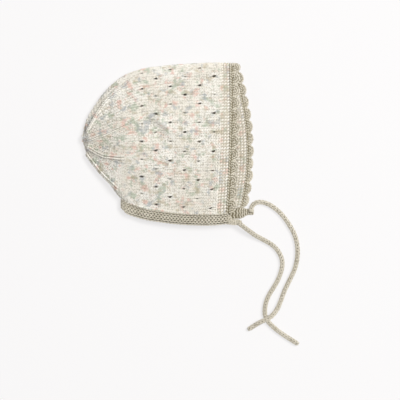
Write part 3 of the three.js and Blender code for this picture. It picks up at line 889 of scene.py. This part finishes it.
def band_end(upper, beyond):
    """A station past the face edge, where the band narrows towards its tie."""
    corner = layer_points(0, upper, np.array([0.0]))[0]
    bend = smooth(beyond, 0, BAND_REACH * END_BEND)
    left = BAND_REACH - beyond
    rounded = math.sqrt(1 - (1 - left / TIP_LONG) ** 2) if left < TIP_LONG else 1
    full_width = BAND_WIDTH + (BAND_END_WIDTH - BAND_WIDTH) * bend
    width = full_width * (TIP_WIDE + (1 - TIP_WIDE) * rounded)
    drop = (END_DROP_NEAR if upper else END_DROP_FAR) * bend
    y = corner[1] - drop - BAND_GAP - (full_width - width) / 2
    z = corner[2] - END_SINK * bend if upper else 0
    return corner[0] + beyond, y, z, width, upper


def band_beside(upper, rows):
    """A station beside the bag, which comes level with the turn towards the nape."""
    edge = layer_points(rows, upper, np.array([0.0]))[0]
    level = smooth(rows, LEVEL_ROWS, TURN_ROWS)
    z = edge[2] + (2 * TURN_RADIUS - edge[2]) * level if upper else 0
    return edge[0], edge[1] - BAND_GAP, z, BAND_WIDTH, upper


def band_turn(share):
    """A station on the turn round the nape, from the upper layer to the lower one."""
    angle, bulge = math.pi * share, math.sin(math.pi * share)
    return (TURN_X - TURN_RADIUS * bulge, TURN_Y + TURN_BULGE * bulge - BAND_GAP,
            TURN_RADIUS * (1 + math.cos(angle)), BAND_WIDTH - TURN_NARROWER * bulge, 1 - share)


ends = [BAND_REACH * (1 - k / END_STEPS) for k in range(END_STEPS)]
sides = [TURN_ROWS * k / SIDE_STEPS for k in range(SIDE_STEPS + 1)]
stations = [band_end(True, beyond) for beyond in ends]
stations += [band_beside(True, rows) for rows in sides]
stations += [band_turn(k / END_STEPS) for k in range(1, END_STEPS)]
stations += [band_beside(False, rows) for rows in sides[::-1]]
stations += [band_end(False, beyond) for beyond in ends[::-1]]
print(len(stations), "stations")

# %% [markdown]
# ## The strip of the neck band
# The stations become a strip of cloth that can be knitted on, as the bag is. Where it hangs high
# it sags a little at its lower edge.

# %% Lay the strip
BAND_SAG, SAG_HEIGHT = 2.0, 12
ACROSS_BAND = 25
x, y, z, width, upper = np.array(stations, float).T[:, :, None]
down = np.linspace(1, 0, ACROSS_BAND)[None, :]
sag = BAND_SAG * down**2 * upper * np.minimum(1, z / SAG_HEIGHT)
grid = np.stack(np.broadcast_arrays(x, y - width * down, z - sag), axis=-1) + TO_MIDDLE
grid[..., 2] = np.maximum(grid[..., 2], 0)
band_reach = reached(grid[:, ACROSS_BAND // 2])
neck_strip = Cloth(grid, band_reach)
print("neck band", round(float(band_reach[-1])), "mm long")

# %% [markdown]
# ## The stitches of the neck band
# Each row is one strand across the strip, with large loops. Towards both ends, where the strip is
# seen along its length, the gaps between rows would look like stripes, so the rows are set closer
# together there. Copies of one row would be quicker, but the strip narrows and turns.

# %% Knit the neck band
BAND_WALL, BAND_YARN = 3.0, 0.58
BAND_ROW, BAND_STITCH, END_ROW = 2.9, 3.9, 0.64
BAND_LEAN, BAND_LOOP, BAND_RISE, BAND_PROUD = 0.30, 0.66, 0.65, 0.20
BAND_EDGE = 0.06  # share of the width that stays bare at each edge
THINNEST = 0.75  # of the yarn, where the band is narrow
band_yarn = Strands()
at = np.linspace(0, band_reach[-1], 200)
from_end = np.minimum(at, at[-1] - at)
rows_at = BAND_ROW * np.interp(from_end, (BAND_REACH - 2, BAND_REACH + 4), (END_ROW, 1))
counted = np.concatenate([[0], np.cumsum((at[1] - at[0]) / rows_at[1:])])
widths = np.linalg.norm(grid[:, 0] - grid[:, -1], axis=1)
across = np.linspace(0, 1, 33)
turn = 2 * math.pi * ((across - 0.5) * BAND_WIDTH / BAND_STITCH + 0.5)
lean = BAND_LEAN * np.sin(2 * turn) * BAND_STITCH / BAND_WIDTH * np.sin(math.pi * across) ** 0.5
share = BAND_EDGE + (1 - 2 * BAND_EDGE) * (across + lean)
depth = BAND_WALL / 2 + BAND_RISE * np.cos(2 * turn) - BAND_PROUD
for n in range(int(counted[-1])):
    middle = float(np.interp(n + 0.5, counted, at))
    along = middle - BAND_LOOP * np.interp(middle, at, rows_at) * np.cos(turn)
    place, out = neck_strip.at(np.clip(along, 0, band_reach[-1]), share)
    wide = float(np.interp(middle, band_reach, widths))
    fit = min(1, THINNEST + (1 - THINNEST) * wide / BAND_WIDTH)
    band_yarn.add(place - out * depth[:, None], out, BAND_YARN * fit, 220 + n)
band_knit = band_yarn.mesh("band_knit")

# %% [markdown]
# ## The wall of the neck band
# It is a little narrower and shorter than the knitting, so it never shows past an edge.

# %% The band wall
at = np.linspace(0.6, band_reach[-1] - 0.6, 160)
place, out = neck_strip.at(at[:, None], np.linspace(0.10, 0.90, 7)[None, :])
band_wall = thick_sheet("band_wall", place, out, 1.20, 0.22)

# %% [markdown]
# ## Formulas in a shader
# A colour that follows the yarn takes a dozen nodes, and wired by hand they are hard to read. A
# small class lets Python's own signs stand for Math nodes, so the pattern reads as a formula.

# %% Shader maths
class Term:
    """A socket in a shader that can be used in a formula."""

    def __init__(self, graph, socket):
        self.graph, self.socket = graph, socket

    def __add__(self, other):
        return self.graph.maths("ADD", self, other)

    def __sub__(self, other):
        return self.graph.maths("SUBTRACT", self, other)

    def __rsub__(self, other):
        return self.graph.maths("SUBTRACT", other, self)

    def __mul__(self, other):
        return self.graph.maths("MULTIPLY", self, other)

    __radd__, __rmul__ = __add__, __mul__


print("signs that make a Math node: + - *")

# %% [markdown]
# ## Nodes in a few words
# Every other node comes from one method, which sets its settings first and then its sockets.
# Colours are given as a screen shows them, and Blender wants them as light, so they are converted.

# %% The node graph
class Graph:
    """A material and its shader nodes."""

    def __init__(self, name):
        self.material = bpy.data.materials.new(name)
        self.material.use_nodes = True
        self.nodes, self.links = self.material.node_tree.nodes, self.material.node_tree.links
        self.shader = self.nodes["Principled BSDF"]

    def put(self, socket, value):
        """Links a term to a socket, or sets the socket to a constant."""
        if isinstance(value, Term):
            self.links.new(value.socket, socket)
        else:
            socket.default_value = value

    def node(self, kind, output, inputs, **settings):
        """A node of any kind, with its inputs by name or number."""
        node = self.nodes.new(kind)
        for key, value in settings.items():
            setattr(node, key, value)
        for key, value in inputs.items():
            self.put(node.inputs[key], value)
        return Term(self, node.outputs[output])

    def maths(self, operation, *values):
        return self.node("ShaderNodeMath", 0, dict(enumerate(values)), operation=operation)

    def ramp(self, value, low, high):
        """0 below low and 1 above high, smoothly."""
        return self.node("ShaderNodeMapRange", 0, {0: value, 1: low, 2: high},
                         interpolation_type="SMOOTHSTEP")

    def mix(self, share, one, other):
        return self.node("ShaderNodeMix", 2, {0: share, 6: one, 7: other}, data_type="RGBA")

    def noise(self, place, scale, detail):
        inputs = {"Vector": place, "Scale": scale, "Detail": detail}
        return self.node("ShaderNodeTexNoise", 0, inputs)


def colour(red, green, blue):
    """A colour given as a screen shows it, from 0 to 255, as light."""
    parts = np.array([red, green, blue]) / 255
    light = np.where(parts <= 0.04045, parts / 12.92, ((parts + 0.055) / 1.055) ** 2.4)
    return tuple(light) + (1,)


print("half grey on a screen is", round(float(colour(128, 128, 128)[0]), 3), "as light")

# %% [markdown]
# ## Wool
# The ivory yarn is dyed in speckles: here and there a few millimetres of it are salmon, sage,
# grey-blue or tan. An image wrapped over the cloth would cut across the stitches, so the colour is
# worked out along the yarn, from how far along it and which row it is, mixed with a drift over the
# cloth. The greige yarn is nearly plain. Both are matt, with a little sheen for the loose fibres,
# and a bump that follows the twist of the plies.

# %% Wool
DRIFT, SPOTS, FUZZ = 45.0, 150.0, 2600.0  # scales of noise over the cloth
FIBRE_ALONG, FIBRE_ROW = 0.55, 3.1  # steps through the noise for a millimetre and for a row
DYE_ALONG, DYE_ROW = 0.12, 1.7
DYE_APART = (0.5, 0.3, 0.7)
RUN_SHARE, SPOT_SHARE, SPOT_EDGE = 0.35, 0.65, 0.12
PLIES, TWIST = 3, 0.42
FINISH = {
    "Roughness": 0.92, "Sheen Weight": 0.25, "Sheen Roughness": 0.5, "Specular IOR Level": 0.25,
}


def wool(name, base, shade, grain, speckles=()):
    """Wool of a colour that drifts to shade over the cloth and to grain along the yarn. A
    speckle is a colour, how strongly it takes and the noise level where it begins."""
    graph = Graph(name)
    uv = graph.node("ShaderNodeUVMap", 0, {}, uv_map="Yarn")
    along = graph.node("ShaderNodeSeparateXYZ", 0, {0: uv})
    mark = graph.node("ShaderNodeSeparateXYZ", 1, {0: uv})
    course = graph.maths("FLOOR", mark)
    around = (mark - course) * 2
    place = graph.node("ShaderNodeTexCoord", 3, {})
    drift = graph.ramp(graph.noise(place, DRIFT, 1.0), 0.35, 0.65)
    tint = graph.mix(drift, colour(*base), colour(*shade))
    fibre = {0: along * FIBRE_ALONG, 1: course * FIBRE_ROW, 2: 0.0}
    fibre = graph.noise(graph.node("ShaderNodeCombineXYZ", 0, fibre), 1.0, 2.0)
    tint = graph.mix(graph.ramp(fibre, 0.48, 0.66), tint, colour(*grain))
    for n, (dye, amount, low) in enumerate(speckles):
        run = {0: along * DYE_ALONG, 1: course * DYE_ROW + n * 31.7, 2: n * 5.3}
        run = graph.noise(graph.node("ShaderNodeCombineXYZ", 0, run), 1.0, 1.0)
        apart = tuple(n * step for step in DYE_APART)
        moved = graph.node("ShaderNodeVectorMath", 0, {0: place, 1: apart}, operation="ADD")
        spot = run * RUN_SHARE + graph.noise(moved, SPOTS, 1.0) * SPOT_SHARE
        tint = graph.mix(graph.ramp(spot, low, low + SPOT_EDGE) * amount, tint, colour(*dye))
    ply = graph.maths("SINE", (around * PLIES + along * TWIST) * (2 * math.pi)) * 0.5
    height = ply + graph.noise(place, FUZZ, 3.0)
    bump = {"Height": height, "Strength": 0.45, "Distance": 0.12 * MM}
    graph.put(graph.shader.inputs["Base Color"], tint)
    graph.put(graph.shader.inputs["Normal"], graph.node("ShaderNodeBump", 0, bump))
    for socket, value in FINISH.items():
        graph.put(graph.shader.inputs[socket], value)
    print(name, "has", len(graph.nodes), "nodes")
    return graph.material


ivory_wool = wool("ivory_wool", (250, 247, 239), (244, 239, 228), (214, 208, 194), [
    ((230, 190, 174), 0.65, 0.54),  # salmon
    ((180, 191, 168), 0.65, 0.54),  # sage
    ((170, 176, 180), 0.60, 0.55),  # grey-blue
    ((196, 182, 150), 0.55, 0.56),  # tan
])
greige_wool = wool("greige_wool", (222, 215, 199), (212, 205, 188), (182, 174, 154), [
    ((190, 180, 156), 0.5, 0.57),
])

# %% [markdown]
# ## The walls' painted shade
# A gap between real loops isn't black, because light is scattered from fibre to fibre. So the wall
# behind the yarn is painted with shade: the wool's own colour made darker, darkest where the gaps
# are deepest. The side that faces the head is given lighter painted shade.

# %% Painted shade for the walls and the ties' cores
# Each of these is a wool made darker: painted shade for the walls and the ties' cores.
ivory_inside_painted_shade = wool("ivory_inside_painted_shade", (205, 196, 180), (197, 188, 172), (184, 175, 158))
ivory_painted_shade = wool("ivory_painted_shade", (176, 167, 150), (168, 158, 142), (168, 158, 142))
face_band_painted_shade = wool("face_band_painted_shade", (196, 187, 170), (188, 179, 162), (188, 179, 162))
greige_painted_shade = wool("greige_painted_shade", (98, 91, 72), (90, 84, 66), (90, 84, 66))
shell_painted_shade = wool("shell_painted_shade", (138, 129, 106), (130, 122, 98), (130, 122, 98))

# %% [markdown]
# ## Dressing the pieces
# Every piece follows the one body and says which wool it is. A wall has two materials, one for
# each of its sides, and a tie has the second for its core. The solid model's parts that they
# replace are hidden.

# %% Dress the pieces
looks = [
    ("ivory_wool", [ivory_wool], [lace_front, lace_back, face_ropes, neck_rims, crown_knit]),
    # The walls' two materials are both painted shade, lighter on the side that faces the head.
    ("ivory_wool", [ivory_painted_shade, ivory_inside_painted_shade], [lace_wall, crown_wall]),
    ("ivory_wool", [face_band_painted_shade, ivory_inside_painted_shade], [face_wall]),
    ("greige_wool", [greige_wool], [shells, band_knit]),
    ("greige_wool", [shell_painted_shade, shell_painted_shade], [shell_wall]),
    ("greige_wool", [greige_painted_shade, shell_painted_shade], [band_wall]),
]
for slot, materials, pieces in looks:
    for piece in pieces:
        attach(piece, "root")
        for material in materials:
            piece.data.materials.append(material)
# A tie's second material, for its core, is painted shade between the stitches.
for tie in (tie_near, tie_far):
    tie.data.materials.append(greige_wool)
    tie.data.materials.append(greige_painted_shade)
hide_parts("lace_body")
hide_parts("crown")
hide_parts("face_band")
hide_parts("scallop_edge")
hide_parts("neck_band")
print("dressed", sum(len(pieces) for _, _, pieces in looks) + 2, "pieces")

# %% [markdown]
# ## The table
# The bonnet lies on a pale, matt table. Most of the table's brightness is its own glow, which
# lifts the shadows on it as a bright room would. Stronger lamps would do that too, but would also
# bleach the wool.

# %% The table
bpy.ops.mesh.primitive_plane_add(size=6, location=(0, 0, -0.3 * MM))
table = bpy.context.object
table.name = "table"
paper = Graph("table")
paper.put(paper.shader.inputs["Base Color"], colour(132, 131, 131))
paper.put(paper.shader.inputs["Emission Color"], colour(217, 216, 216))
paper.put(paper.shader.inputs["Emission Strength"], 1.0)
paper.put(paper.shader.inputs["Roughness"], 0.95)
table.data.materials.append(paper.material)
print("table", [round(side, 1) for side in table.dimensions], "m")

# %% [markdown]
# ## The light
# A large soft lamp stands to the upper right, so shadows fall softly to the lower left. A sun
# would draw them sharp, and each stitch would get a hard edge. A white room fills them.

# %% The light
LAMP_PLACE, LAMP_TARGET = (0.95, 0.5, 2.1), (0.02, -0.04, 0)
LAMP_SIZE, LAMP_POWER, ROOM_LIGHT = 0.9, 46.0, 0.40
lamp_data = bpy.data.lights.new("key", "AREA")
lamp_data.shape, lamp_data.size, lamp_data.energy = "DISK", LAMP_SIZE, LAMP_POWER
lamp = bpy.data.objects.new("key", lamp_data)
lamp.location = LAMP_PLACE
aim = np.array(LAMP_TARGET) - np.array(LAMP_PLACE)
lamp.rotation_euler = (math.atan2(math.hypot(aim[0], aim[1]), -aim[2]), 0,
                       math.atan2(aim[1], aim[0]) - math.pi / 2)
scene.collection.objects.link(lamp)
world = bpy.data.worlds.new("studio")
world.use_nodes = True
background = world.node_tree.nodes["Background"]
background.inputs["Color"].default_value = (1, 1, 1, 1)
background.inputs["Strength"].default_value = ROOM_LIGHT
scene.world = world
scene.view_settings.view_transform = "Standard"
print("the lamp is", round(float(np.linalg.norm(aim)), 2), "m away")
